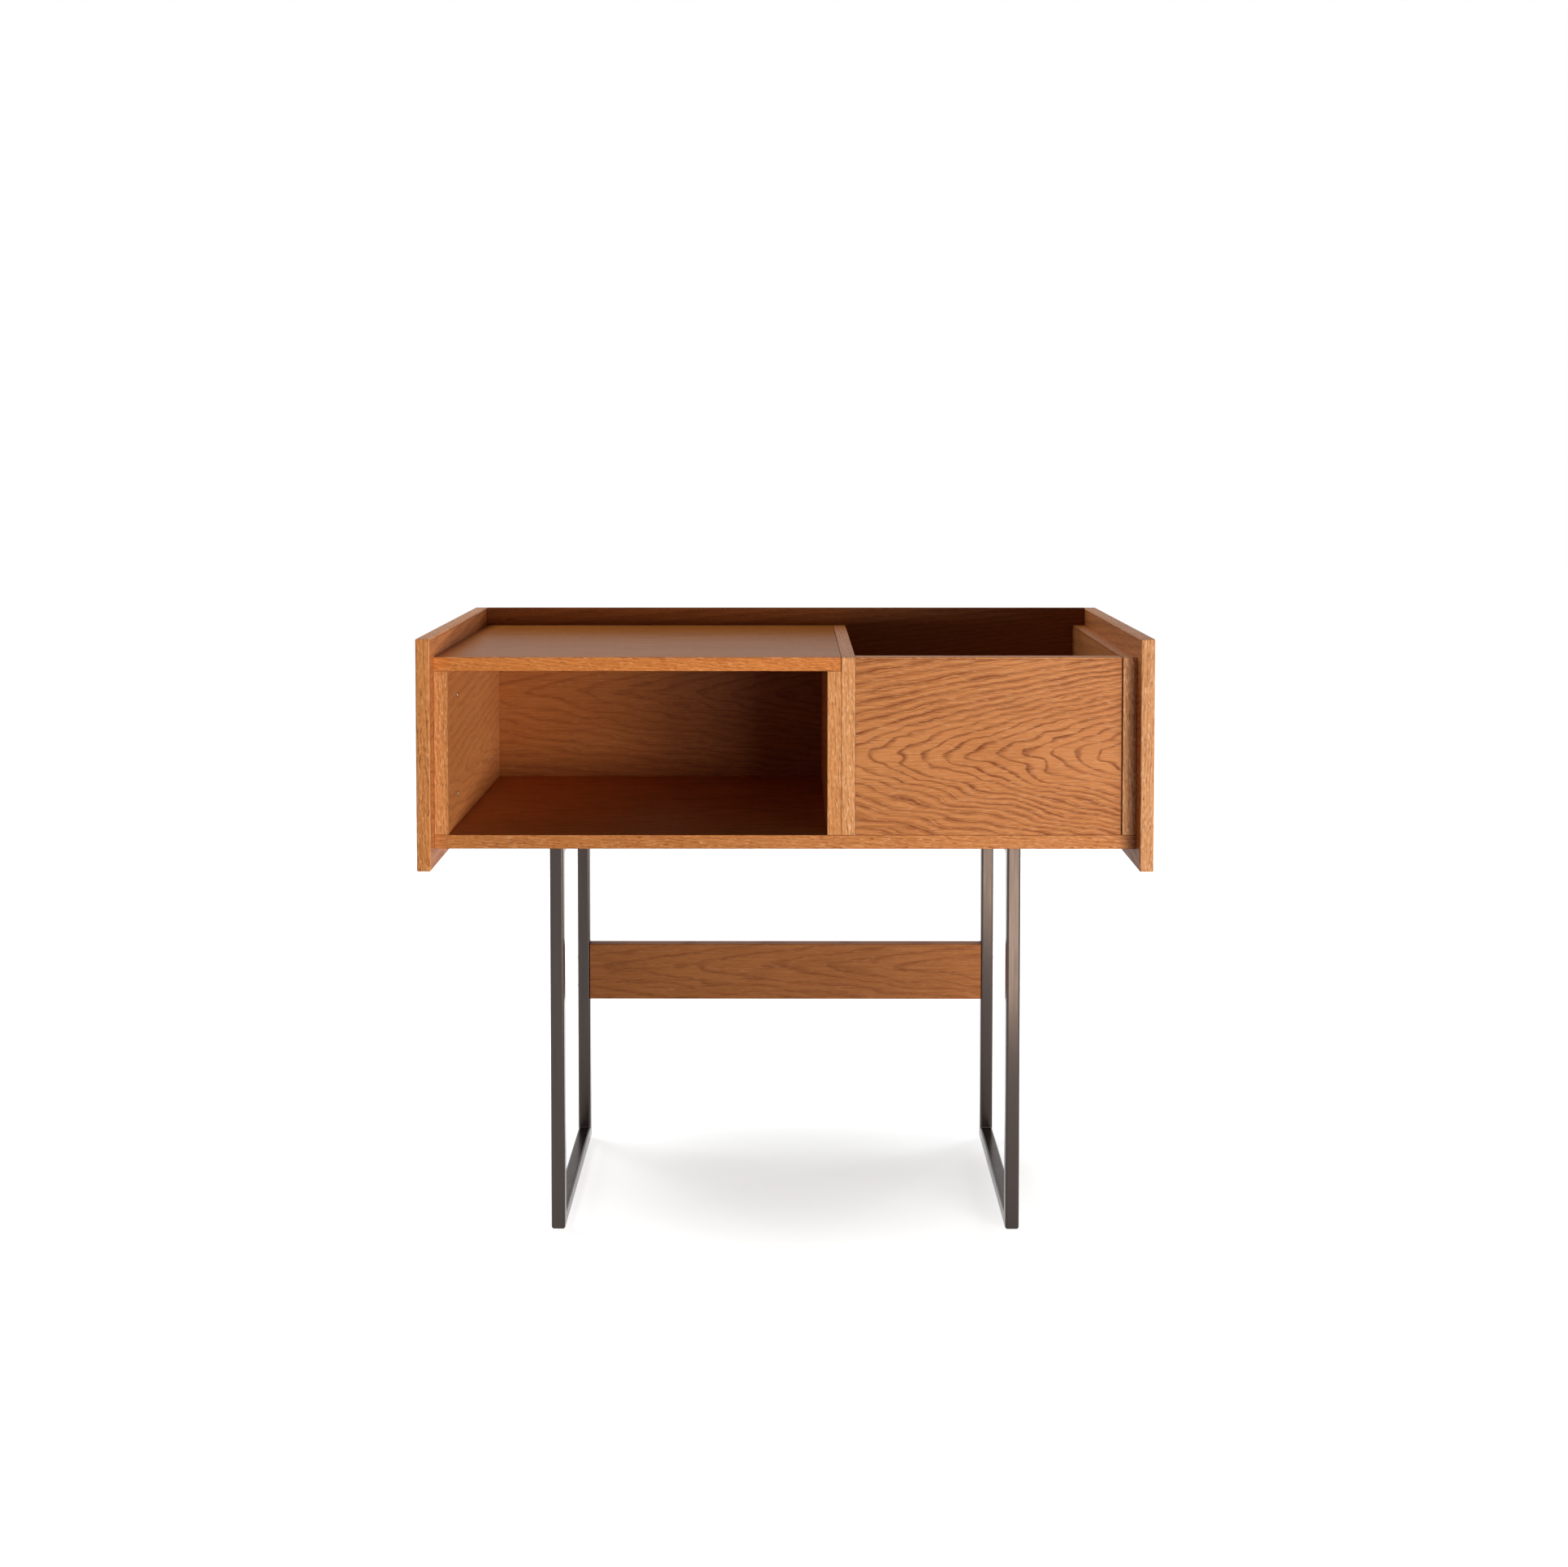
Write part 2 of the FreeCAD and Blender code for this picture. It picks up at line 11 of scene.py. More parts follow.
import bmesh
import bpy
import numpy as np
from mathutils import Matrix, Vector


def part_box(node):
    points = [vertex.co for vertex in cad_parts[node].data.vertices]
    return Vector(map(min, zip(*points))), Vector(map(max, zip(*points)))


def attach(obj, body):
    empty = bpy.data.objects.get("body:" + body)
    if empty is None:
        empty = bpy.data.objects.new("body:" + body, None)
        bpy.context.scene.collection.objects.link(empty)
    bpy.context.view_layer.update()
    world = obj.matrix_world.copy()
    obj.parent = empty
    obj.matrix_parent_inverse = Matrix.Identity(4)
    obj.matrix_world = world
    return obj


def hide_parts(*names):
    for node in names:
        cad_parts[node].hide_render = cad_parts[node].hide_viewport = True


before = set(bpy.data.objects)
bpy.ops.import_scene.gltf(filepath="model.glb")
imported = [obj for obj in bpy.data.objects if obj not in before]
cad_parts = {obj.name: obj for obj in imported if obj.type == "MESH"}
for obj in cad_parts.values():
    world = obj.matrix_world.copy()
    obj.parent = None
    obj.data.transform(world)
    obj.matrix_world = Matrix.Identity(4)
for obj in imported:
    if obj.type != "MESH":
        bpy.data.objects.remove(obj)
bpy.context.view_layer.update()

bl_info = {
    "name": "Oak media console",
    "version": (1, 0, 0),
    "blender": (4, 5, 0),
    "location": "View3D > Sidebar > Console",
    "description": "Dresses the packed media console in oak, steel and felt, and sets the studio round it",
    "category": "Object",
}

MM = 0.001
PER_METRE_MM = 1000.0
IMAGE_WIDTH = 1932
IMAGE_HEIGHT = 1931
BODY = "root"


# Settings

def linear(hex_colour):
    """The linear RGB of an sRGB hex colour, by the sRGB transfer curve."""
    srgb = np.array([int(hex_colour[i:i + 2], 16) for i in (1, 3, 5)]) / 255
    return np.where(srgb <= 0.04045, srgb / 12.92, ((srgb + 0.055) / 1.055) ** 2.4).tolist()


def colour_property(name, description, hex_colour):
    """A colour that shows as the sRGB hex value given."""
    return bpy.props.FloatVectorProperty(
        name=name, description=description, subtype="COLOR", size=3, min=0, max=1, default=linear(hex_colour))


def factor_property(name, description, share):
    """A share from 0 to 1."""
    return bpy.props.FloatProperty(
        name=name, description=description, subtype="FACTOR", min=0, max=1, default=share)


def length_property(name, description, millimetres):
    """A length that is written in millimetres and kept in metres."""
    return bpy.props.FloatProperty(
        name=name, description=description, unit="LENGTH", default=millimetres * MM)


def power_property(name, description, watts):
    """The power of a lamp."""
    return bpy.props.FloatProperty(
        name=name, description=description, unit="POWER", default=watts)


class ConsoleFinish(bpy.types.PropertyGroup):
    """Colours and gloss of the console's materials."""

    oak_light: colour_property("Oak, light", "Pale summer wood between the rings", "#EDAE74")
    oak_warm: colour_property("Oak, warm", "Redder ground that drifts through the leaf", "#E2A165")
    oak_ring: colour_property("Oak, ring", "Dark porous edge of each ring", "#945226")
    # This colour also draws the thin dark line along the board edges, which is partly painted shade of the
    # joints.
    oak_pore_and_edge_shade: colour_property("Oak, pore", "Stain held in the open pores", "#7C4526")
    oak_fleck: colour_property("Oak, fleck", "Pale ray flecks", "#FBCB9E")
    steel_light: colour_property("Steel, worn", "Burnished steel where the wax is thin", "#4A423F")
    steel_dark: colour_property("Steel, dark", "Burnished steel under its dark wax", "#443D3A")
    zinc: colour_property("Zinc", "Dull zinc plating of the screws and bolts", "#8B8378")
    beech: colour_property("Beech", "Plain beech of the dowels", "#D8B48A")
    plug: colour_property("Plug", "Black polypropylene of the access plugs", "#1B1A19")
    felt: colour_property("Felt", "Grey wool felt of the floor pads", "#57534E")
    oak_roughness: factor_property("Oak roughness", "Satin of the lacquer", 0.46)
    deck_roughness: factor_property("Deck roughness", "Satin of the deck's lacquer", 0.24)
    oak_sheen: factor_property("Oak sheen", "Strength of the lacquer's reflection", 0.15)
    deck_sheen: factor_property("Deck sheen", "Strength of the deck's reflection, rubbed flatter", 0.007)
    steel_roughness: factor_property("Steel roughness", "Satin of the waxed steel", 0.22)


class ConsoleSizes(bpy.types.PropertyGroup):
    """Sizes of the small pieces that are made here."""

    head_height: length_property("Head height", "Height of the screws' heads", 2.5)
    recess_width: length_property("Recess width", "Width of each slot of the screws' cross recess", 1.1)
    recess_span: length_property("Recess span", "Length of each slot of the screws' cross recess", 4.4)
    recess_depth: length_property("Recess depth", "Depth of the screws' cross recess", 1.4)
    thread_pitch: length_property("Thread pitch", "Distance between turns of the screws' thread", 2.5)
    plug_flange: length_property("Plug flange", "Radius of the access plugs' domed flange", 7)
    plug_dome: length_property("Plug dome", "How far the access plugs stand proud of the tube", 0.3)
    pad_edge: length_property("Pad edge", "How far the felt pads' edge bulges", 0.35)


class ConsoleStage(bpy.types.PropertyGroup):
    """Camera and light of the studio."""

    camera_place: bpy.props.FloatVectorProperty(
        name="Camera", description="Where the camera stands", subtype="TRANSLATION",
        default=(0.0028, -2.410, 1.0319))
    camera_pitch: bpy.props.FloatProperty(
        name="Pitch", description="How far the camera looks down", subtype="ANGLE", default=0.0378)
    camera_yaw: bpy.props.FloatProperty(
        name="Yaw", description="How far the camera turns to the left", subtype="ANGLE", default=0.0019)
    focal_pixels: bpy.props.FloatProperty(
        name="Focal length", description="Focal length in pixels of the full image",
        subtype="PIXEL", default=2148.4)
    centre_row: bpy.props.FloatProperty(
        name="Centre row", description="Image row of the lens axis, in pixels from the top",
        subtype="PIXEL", default=629.7)
    key_power: power_property("Key", "Power of the low softbox at the right", 96.0)
    fill_power: power_property("Fill", "Power of the low softbox behind the camera", 90.0)
    top_power: power_property("Top", "Power of the softbox above, behind and to the left", 29.0)
    low_power: power_property("Low", "Power of the panel on the floor that the right legs mirror", 15.0)
    rear_power: power_property("Rear", "Power of each of the two softboxes behind", 40.0)
    sky: factor_property("Sky", "Strength of the even light from all round", 0.03)
    floor_lift: factor_property("Floor lift", "White that the camera sees added to the floor's shadow", 0.5)
    shadow_reach: bpy.props.FloatVectorProperty(
        name="Shadow reach", description="Distances at which the floor starts to turn white, and is white",
        size=2, unit="LENGTH", default=(0.05, 0.45))


# Nodes and materials

def add(tree, kind, inputs=(), **settings):
    """Add one node. Settings are its own properties; inputs are sockets by place, name or identifier.

    An input is a value, a socket, or a node, which stands for its first output in use.
    """
    made = tree.nodes.new("ShaderNode" + kind)
    for name, value in settings.items():
        setattr(made, name, value)
    pairs = inputs.items() if isinstance(inputs, dict) else enumerate(inputs)
    for key, value in pairs:
        socket = next(s for i, s in enumerate(made.inputs) if key in (i, s.identifier, s.name))
        if isinstance(value, bpy.types.Node):
            value = next(output for output in value.outputs if not output.is_unavailable)
        if isinstance(value, bpy.types.NodeSocket):
            tree.links.new(value, socket)
        else:
            socket.default_value = value
    return made


def blank(name):
    """An empty node material, with its tree and its output socket."""
    material = bpy.data.materials.new(name)
    material.use_nodes = True
    tree = material.node_tree
    tree.nodes.clear()
    surface = add(tree, "OutputMaterial").inputs["Surface"]
    return material, tree, surface


def stretched_noise(tree, place, fields):
    """Noise fields by name, each with its feature size in mm along, across and through, and its detail."""
    made = {}
    for name, (size, detail) in fields.items():
        scaled = add(tree, "VectorMath", [place, tuple(1 / length for length in size)], operation="MULTIPLY")
        made[name] = add(tree, "TexNoise", {"Vector": scaled, "Scale": 1.0, "Detail": detail})
    return made


# Growth of a flat-sawn leaf: how far an arch's arms lag behind its apex for each mm off the axis and each
# square mm, the distance between rings, and how far broad sways and small ripples move them, in mm.
Growth = namedtuple("Growth", "reach curve pitch sway ripple")
# A flat-sawn figure: its first apex along and across the grain in mm from the board's low corner, the way
# along the grain in which its arches open, 1 or -1, and its growth.
Figure = namedtuple("Figure", "apex axis opens growth")
# A straight-grained strip: how far its rings lean to its length in radians, and their distance in mm.
Strip = namedtuple("Strip", "lean pitch")
# A board of oak: the axes along and across its grain, its tint, how dark its rings are, and its Figure or
# Strip.
Board = namedtuple("Board", "grain across tint depth cut")

# Noise of oak in mm along, across and through the grain. Real pores are 0.3 mm wide and too fine to
# show in the render, so the pores and flecks are drawn about a millimetre wide.
LEAF_NOISE = {
    "sway": ((80, 30, 30), 1),
    "ripple": ((36, 13, 13), 1),
    "tone": ((240, 70, 40), 2),
    "band": ((60, 14, 14), 2),
    "patch": ((40, 16, 16), 1),
    "streak": ((70, 1.8, 1.8), 3),
    "pore": ((16, 1.2, 1.2), 2),
    "fleck": ((12, 1.5, 1.5), 1),
}
# On the solid strips the pores run out of the face sooner, so their dashes are shorter.
STRIP_NOISE = {**LEAF_NOISE, "pore": ((9, 1.3, 1.3), 2), "fleck": ((8, 1.4, 1.4), 1)}
OAK_NOISE = {Figure: LEAF_NOISE, Strip: STRIP_NOISE}

# Shape of the rings
AXIS_DRIFT_MM = 14.0
TIP_MM = 6.0
OPENING_RINGS = 9.4
STRIP_SLANT = 0.7
STRIP_SWAY_MM = 16.0

# Ranges that the Map Range nodes read, and what they give where that isn't 0 to 1
FADES = {"To Min": 1.0, "To Max": 0.0}
RING_FRONT = {"From Min": 0.86, "From Max": 1.0}
RING_WIDTH = {"From Min": 0.35, "From Max": 0.65, "To Min": 0.16, "To Max": 0.5}
RING_BAND = {"From Min": 0.34, "From Max": 0.66}
FAINT_RING_MM = {"From Min": 25.0, "From Max": 60.0, "To Max": 0.7}
TONE = {"From Min": 0.3, "From Max": 0.7}
STREAKS = {"From Min": 0.45, "From Max": 0.75, "To Max": 0.45}
PORES = {"From Min": 0.56, "From Max": 0.72}
FLECKS = {"From Min": 0.55, "From Max": 0.75}
GRAIN = {"From Min": 0.7, "From Max": 1.3}

# Strength of the oak's marks, as shares
FAINT_RING_START = 0.45
FAINT_RING_WIDTH = 0.4
PALEST_BAND = 0.5
PORES_IN_RINGS = 0.6
PORES_BETWEEN_RINGS = {Figure: 0.22, Strip: 0.75}
FLECK_STRENGTH = {Figure: 0.5, Strip: 1.0}
# A thin dark line along every board edge: partly finish gathered at the arris, partly painted shade of the
# shadow line in each joint.
EDGE_LINE_AND_SHADE_MM = 0.8
EDGE_LINE_AND_SHADE_STRENGTH = 0.8

# The lacquer over the oak
LACQUER_IOR = 1.5
ROUGHER_IN_PORES = 0.12
PORE_RELIEF = 0.6
OAK_RELIEF_MM = 0.08
OAK_RELIEF_STRENGTH = 0.35


def flat_sawn_rings(tree, figure, along, aside, noise):
    """Count of rings across a flat-sawn leaf, whose rings are nested arches.

    Along the grain each ring lags behind its apex by reach times the distance from the figure's axis plus
    curve times its square, so the arms turn along the grain further out; the tip is rounded, as of a
    hyperbola. Ahead of the first apex the rings are a pitch apart, and behind it they open out by a
    logarithm.
    """
    growth = figure.growth
    drift = add(tree, "Math", [noise["sway"], AXIS_DRIFT_MM, -AXIS_DRIFT_MM / 2], operation="MULTIPLY_ADD")
    drifted = add(tree, "Math", [aside, drift], operation="ADD")
    squared = add(tree, "Math", [drifted, drifted, TIP_MM ** 2], operation="MULTIPLY_ADD")
    rounded = add(tree, "Math", [squared], operation="SQRT")
    off_axis = add(tree, "Math", [rounded, TIP_MM], operation="SUBTRACT")
    slope = add(tree, "Math", [off_axis, growth.curve, growth.reach], operation="MULTIPLY_ADD")
    lag = add(tree, "Math", [off_axis, slope], operation="MULTIPLY")
    ahead = add(tree, "Math", [along, figure.opens], operation="MULTIPLY")
    flow = add(tree, "Math", [ahead, lag], operation="SUBTRACT")
    for field, size in (("sway", growth.sway), ("ripple", growth.ripple)):
        shift = add(tree, "Math", [noise[field], size, -size / 2], operation="MULTIPLY_ADD")
        flow = add(tree, "Math", [flow, shift], operation="ADD")
    past = add(tree, "Math", [flow, 0.0], operation="MAXIMUM")
    near_rings = add(tree, "Math", [past, growth.pitch], operation="DIVIDE")
    backward = add(tree, "Math", [flow, -1.0], operation="MULTIPLY")
    short = add(tree, "Math", [backward, 0.0], operation="MAXIMUM")
    widened = add(tree, "Math", [short, 1 / (OPENING_RINGS * growth.pitch), 1.0], operation="MULTIPLY_ADD")
    opened = add(tree, "Math", [widened, math.e], operation="LOGARITHM")
    far_rings = add(tree, "Math", [opened, OPENING_RINGS], operation="MULTIPLY")
    return add(tree, "Math", [near_rings, far_rings], operation="SUBTRACT")


def straight_rings(tree, strip, aside, inward, noise):
    """Count of rings across a straight-grained strip: planes a pitch apart that slant through it and sway."""
    slanted = add(tree, "Math", [inward, STRIP_SLANT, aside], operation="MULTIPLY_ADD")
    swayed = add(tree, "Math", [noise["sway"], STRIP_SWAY_MM, slanted], operation="MULTIPLY_ADD")
    return add(tree, "Math", [swayed, strip.pitch], operation="DIVIDE")


def ring_edges(tree, rings, noise):
    """How dark a point is by its place in its ring: a short front, then a tail that is wider in patches."""
    share = add(tree, "Math", [rings], operation="FRACT")
    width = add(tree, "MapRange", {"Value": noise["patch"], **RING_WIDTH})
    tail = add(tree, "MapRange", {"Value": share, "From Max": width, **FADES},
               interpolation_type="SMOOTHSTEP")
    front = add(tree, "MapRange", {"Value": share, **RING_FRONT}, interpolation_type="SMOOTHSTEP")
    return add(tree, "Math", [tail, front], operation="MAXIMUM")


def faint_rings(tree, rings, aside):
    """Thinner lines, two to a ring, that only show away from the figure's axis."""
    doubled = add(tree, "Math", [rings, 2.0, FAINT_RING_START], operation="MULTIPLY_ADD")
    share = add(tree, "Math", [doubled], operation="FRACT")
    thin = add(tree, "MapRange", {"Value": share, "From Max": FAINT_RING_WIDTH, **FADES},
               interpolation_type="SMOOTHSTEP")
    off_axis = add(tree, "Math", [aside], operation="ABSOLUTE")
    outer = add(tree, "MapRange", {"Value": off_axis, **FAINT_RING_MM})
    return add(tree, "Math", [thin, outer], operation="MULTIPLY")


# Mask of the dark edge line, which is partly painted shade of the joints' shadow lines.
def edge_line_and_joint_shade(tree, place, node):
    """How near a point of a board's face is to the face's edge: 1 on it, 0 from a line's width inwards.

    On a face one of the distances to the sides of the board's box is zero, so the distance to the nearest
    edge is the second smallest.
    """
    low, high = (np.array(corner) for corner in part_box(node))
    from_middle = add(tree, "VectorMath", [place, tuple((low + high) / 2)], operation="SUBTRACT")
    spread = add(tree, "VectorMath", [from_middle], operation="ABSOLUTE")
    to_sides = add(tree, "VectorMath", [tuple((high - low) / 2), spread], operation="SUBTRACT")
    a, b, c = add(tree, "SeparateXYZ", [to_sides]).outputs
    smaller = add(tree, "Math", [a, b], operation="MINIMUM")
    larger = add(tree, "Math", [a, b], operation="MAXIMUM")
    smaller_of_rest = add(tree, "Math", [larger, c], operation="MINIMUM")
    second = add(tree, "Math", [smaller, smaller_of_rest], operation="MAXIMUM")
    return add(tree, "MapRange", {"Value": second, "From Max": EDGE_LINE_AND_SHADE_MM * MM, **FADES},
               interpolation_type="SMOOTHSTEP")


def oak(node, board, finish, satin=None, ends=None):
    """Oak under thin satin lacquer: warm tan ground, dark porous ring edges, pore dashes and pale flecks.

    A cut that is a Figure is a flat-sawn leaf of nested arches, with fainter lines between the rings away
    from its axis. A Strip is straight-grained: its rings are planes across both faces, leaning to the board's
    length. Along the edges a thin dark line is painted: partly finish gathered at the arris, partly painted
    shade of the shadow line in each joint. The satin is the lacquer's roughness and sheen where they differ
    from the finish's own. The ends scale the colour at the low and the high end of the grain, as painted
    light and shade that changes evenly between them.
    """
    grain, across, tint, depth, cut = board
    roughness, sheen = satin or (finish.oak_roughness, finish.oak_sheen)
    kind = type(cut)
    material, tree, surface = blank("lacquered oak " + node)
    place = add(tree, "TexCoord").outputs["Object"]
    axes = add(tree, "SeparateXYZ", [place]).outputs
    through = ({"X", "Y", "Z"} - {grain, across}).pop()
    laid = add(tree, "CombineXYZ", [axes[grain], axes[across], axes[through]])
    low, high = (dict(zip("XYZ", corner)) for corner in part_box(node))
    if kind is Figure:
        apex = (low[grain] * PER_METRE_MM + cut.apex, low[across] * PER_METRE_MM + cut.axis, 0)
        setting = {"Location": tuple(-distance for distance in apex)}
    else:
        setting = {"Rotation": (0, 0, cut.lean)}
    sawn = add(tree, "Mapping", {"Vector": laid, "Scale": (PER_METRE_MM,) * 3, **setting})
    noise = stretched_noise(tree, sawn, OAK_NOISE[kind])
    along, aside, inward = add(tree, "SeparateXYZ", [sawn]).outputs

    if kind is Figure:
        rings = flat_sawn_rings(tree, cut, along, aside, noise)
        lines = [ring_edges(tree, rings, noise), faint_rings(tree, rings, aside)]
        ring = add(tree, "Math", lines, operation="MAXIMUM")
    else:
        ring = ring_edges(tree, straight_rings(tree, cut, aside, inward, noise), noise)
    band = add(tree, "MapRange", {"Value": noise["band"], **RING_BAND,
                                  "To Min": PALEST_BAND * depth, "To Max": depth})
    ringed = add(tree, "Math", [ring, band], operation="MULTIPLY")
    tone = add(tree, "MapRange", {"Value": noise["tone"], **TONE})
    streaks = add(tree, "MapRange", {"Value": noise["streak"], **STREAKS})
    open_pores = add(tree, "MapRange", {"Value": noise["pore"], **PORES})
    porous = add(tree, "Math", [ringed, PORES_IN_RINGS, PORES_BETWEEN_RINGS[kind]], operation="MULTIPLY_ADD")
    pores = add(tree, "Math", [open_pores, porous], operation="MULTIPLY")
    flecks = add(tree, "MapRange", {"Value": noise["fleck"], **FLECKS, "To Max": FLECK_STRENGTH[kind]})
    # The edge line is partly painted shade of the joints' shadow lines, partly finish gathered at the arris.
    edge = add(tree, "Math", [edge_line_and_joint_shade(tree, place, node), EDGE_LINE_AND_SHADE_STRENGTH], operation="MULTIPLY")

    tinted = np.array(linear(tint))
    ground = (*(np.array(finish.oak_light) * tinted), 1)
    for amount, layer in (
        (tone, finish.oak_warm),
        (streaks, finish.oak_ring),
        (ringed, finish.oak_ring),
        (pores, finish.oak_pore_and_edge_shade),
        (flecks, finish.oak_fleck),
        (edge, finish.oak_pore_and_edge_shade),
    ):
        over = (*(np.array(layer) * tinted), 1)
        ground = add(tree, "Mix", {"Factor_Float": amount, "A_Color": ground, "B_Color": over},
                     data_type="RGBA")
    # Painted light and shade: the colour is scaled evenly from the low to the high end of the grain.
    if ends:
        painted_light_fade = add(tree, "MapRange", {"Value": axes[grain], "From Min": low[grain], "From Max": high[grain],
                                      "To Min": ends[0], "To Max": ends[1]})
        ground = add(tree, "VectorMath", {"Vector": ground, "Scale": painted_light_fade}, operation="SCALE")

    open_grain = add(tree, "Math", [pores, ringed], operation="ADD")
    gloss = add(tree, "MapRange", {"Value": open_grain, "To Min": roughness,
                                   "To Max": roughness + ROUGHER_IN_PORES})
    relief = add(tree, "Math", [pores, PORE_RELIEF, ringed], operation="MULTIPLY_ADD")
    sunk = add(tree, "Math", [relief, -1.0], operation="MULTIPLY")
    bump = add(tree, "Bump", {
        "Strength": OAK_RELIEF_STRENGTH, "Distance": OAK_RELIEF_MM * MM, "Height": sunk})
    shader = add(tree, "BsdfPrincipled", {
        "Base Color": ground, "Roughness": gloss, "Normal": bump,
        "IOR": LACQUER_IOR, "Specular IOR Level": sheen})
    tree.links.new(shader.outputs[0], surface)
    return material


CLOUD_TIMES = 9
GRAIN_DETAIL = 3
CLOUD_DETAIL = 2
ROUGHER_IN_DARK = 0.06
SMOOTHER_IN_LIGHT = 0.04
GRAIN_RELIEF_STRENGTH = 0.5


def fine_grained(name, light, dark, size, metallic, roughness, depth):
    """A finish that varies by a fine grain: mottled from dark to light, a little rougher where dark.

    The size is the grain's in mm along X, Y and Z, and the depth of its relief is in mm. Larger clouds of the
    same form vary it further.
    """
    material, tree, surface = blank(name)
    coordinates = add(tree, "TexCoord").outputs["Object"]
    place = add(tree, "Mapping", {"Vector": coordinates, "Scale": (PER_METRE_MM,) * 3})
    cloud_size = tuple(CLOUD_TIMES * length for length in size)
    noise = stretched_noise(tree, place, {
        "grain": (size, GRAIN_DETAIL), "cloud": (cloud_size, CLOUD_DETAIL)})
    both = add(tree, "Math", [noise["grain"], noise["cloud"]], operation="ADD")
    share = add(tree, "MapRange", {"Value": both, **GRAIN})
    base = add(tree, "Mix", {"Factor_Float": share, "A_Color": (*dark, 1), "B_Color": (*light, 1)},
               data_type="RGBA")
    gloss = add(tree, "MapRange", {"Value": share, "To Min": roughness + ROUGHER_IN_DARK,
                                   "To Max": roughness - SMOOTHER_IN_LIGHT})
    bump = add(tree, "Bump", {
        "Strength": GRAIN_RELIEF_STRENGTH, "Distance": depth * MM, "Height": noise["grain"]})
    shader = add(tree, "BsdfPrincipled", {
        "Base Color": base, "Metallic": metallic, "Roughness": gloss, "Normal": bump})
    tree.links.new(shader.outputs[0], surface)
    return material


def shaded(colour, share):
    """A colour with its light scaled by a share, at most to full."""
    return tuple(min(1.0, channel * share) for channel in colour)


def dress(nodes, material):
    """Give CAD nodes a material."""
    for node in nodes:
        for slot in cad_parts[node].material_slots:
            slot.material = material


# Surfaces

X_AXIS, Y_AXIS, Z_AXIS = range(3)
SAME_PLACE_MM = 0.01
MERGED_MM = 0.0001
SHARP_DEGREES = 35
NEARLY_UPRIGHT = 0.9


def islands(node):
    """Lowest and highest corner of each separate solid in a CAD node, as an array of pairs.

    Points at the same place are one point; each triangle hands its lowest label to its corners until no label
    changes, so a solid ends with one label.
    """
    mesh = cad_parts[node].data
    points = np.empty(3 * len(mesh.vertices), np.float32)
    mesh.vertices.foreach_get("co", points)
    points = points.reshape(-1, 3)
    corners = np.empty(len(mesh.loops), np.int32)
    mesh.loops.foreach_get("vertex_index", corners)
    whole_steps = np.round(points / (SAME_PLACE_MM * MM)).astype(int)
    same = np.unique(whole_steps, axis=0, return_inverse=True)[1].ravel()
    triangles = same[corners].reshape(-1, 3)
    label = np.arange(same.max() + 1)
    settled = False
    while not settled:
        spread = label.copy()
        np.minimum.at(spread, triangles.ravel(), label[triangles].min(1).repeat(3))
        settled = np.array_equal(spread, label)
        label = spread
    mark = label[same]
    return np.array([[points[mark == one].min(0), points[mark == one].max(0)] for one in np.unique(mark)])


def to_middle(place):
    """The way from a place along an axis to the console's middle: 1 or -1."""
    return -np.sign(place)


def seated(node, axis, facing):
    """Seats of a node's like solids: the middles and ways of their outer ends, their length and radius.

    The solids lie along the axis. From the place of a solid's middle on it, facing gives the way that its
    outer end faces, 1 or -1.
    """
    boxes = islands(node)
    seats = boxes.mean(1)
    side = facing(seats[:, axis])
    outward = np.zeros_like(seats)
    outward[:, axis] = side
    seats[:, axis] = np.where(side > 0, boxes[:, 1, axis], boxes[:, 0, axis])
    spans = boxes[0, 1] - boxes[0, 0]
    return seats, outward, spans[axis], spans[axis - 2] / 2


def set_out(grid, seats, directions):
    """Copies of a grid of points, each with its local Z along a direction and its origin on a seat."""
    outward = np.asarray(directions, float)
    upright = np.abs(outward[:, 2:]) > NEARLY_UPRIGHT
    helper = np.where(upright, [[1.0, 0.0, 0.0]], [[0.0, 0.0, 1.0]])
    second = np.cross(outward, helper)
    basis = np.stack([helper, second, outward], axis=1)
    return np.einsum("rck,nkj->nrcj", grid, basis) + np.asarray(seats)[:, None, None, :]


def turned(radii, heights, rounds):
    """A profile turned about Z: the point at angle a is (r cos a, r sin a, h)."""
    angle = np.linspace(0, 2 * np.pi, rounds, endpoint=False)
    r = np.asarray(radii)[:, None]
    h = np.asarray(heights)[:, None]
    return np.stack(np.broadcast_arrays(r * np.cos(angle), r * np.sin(angle), h), axis=-1)


def make_piece(name, grids, material, node):
    """One object from closed turned grids, which stands for a CAD node.

    Quads join neighbouring points, and the points of a pole are merged.
    """
    copies, rows, rounds, _ = grids.shape
    index = np.arange(rows * rounds).reshape(rows, rounds)
    after = np.roll(index, -1, axis=1)
    quads = np.stack([index[:-1], index[1:], after[1:], after[:-1]], axis=-1).reshape(-1, 4)
    every = (quads[None] + (np.arange(copies) * rows * rounds)[:, None, None]).reshape(-1, 4)
    mesh = bpy.data.meshes.new(name)
    mesh.from_pydata(grids.reshape(-1, 3).tolist(), [], every.tolist())
    merged = bmesh.new()
    merged.from_mesh(mesh)
    bmesh.ops.remove_doubles(merged, verts=merged.verts, dist=MERGED_MM * MM)
    bmesh.ops.recalc_face_normals(merged, faces=merged.faces)
    merged.to_mesh(mesh)
    merged.free()
    mesh.shade_smooth()
    mesh.set_sharp_from_angle(angle=math.radians(SHARP_DEGREES))
    mesh.materials.append(material)
    piece = bpy.data.objects.new(name, mesh)
    bpy.context.scene.collection.objects.link(piece)
    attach(piece, BODY)
    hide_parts(node)


SCREW_ROUNDS = 32
FACE_RINGS = 12
ROWS_A_PITCH = 4
RECESS_SLOPE_MM = 0.2
HEAD_CHAMFER_MM = 0.3
THREAD_SHARE = 0.3
TIP_SHARE = 0.15


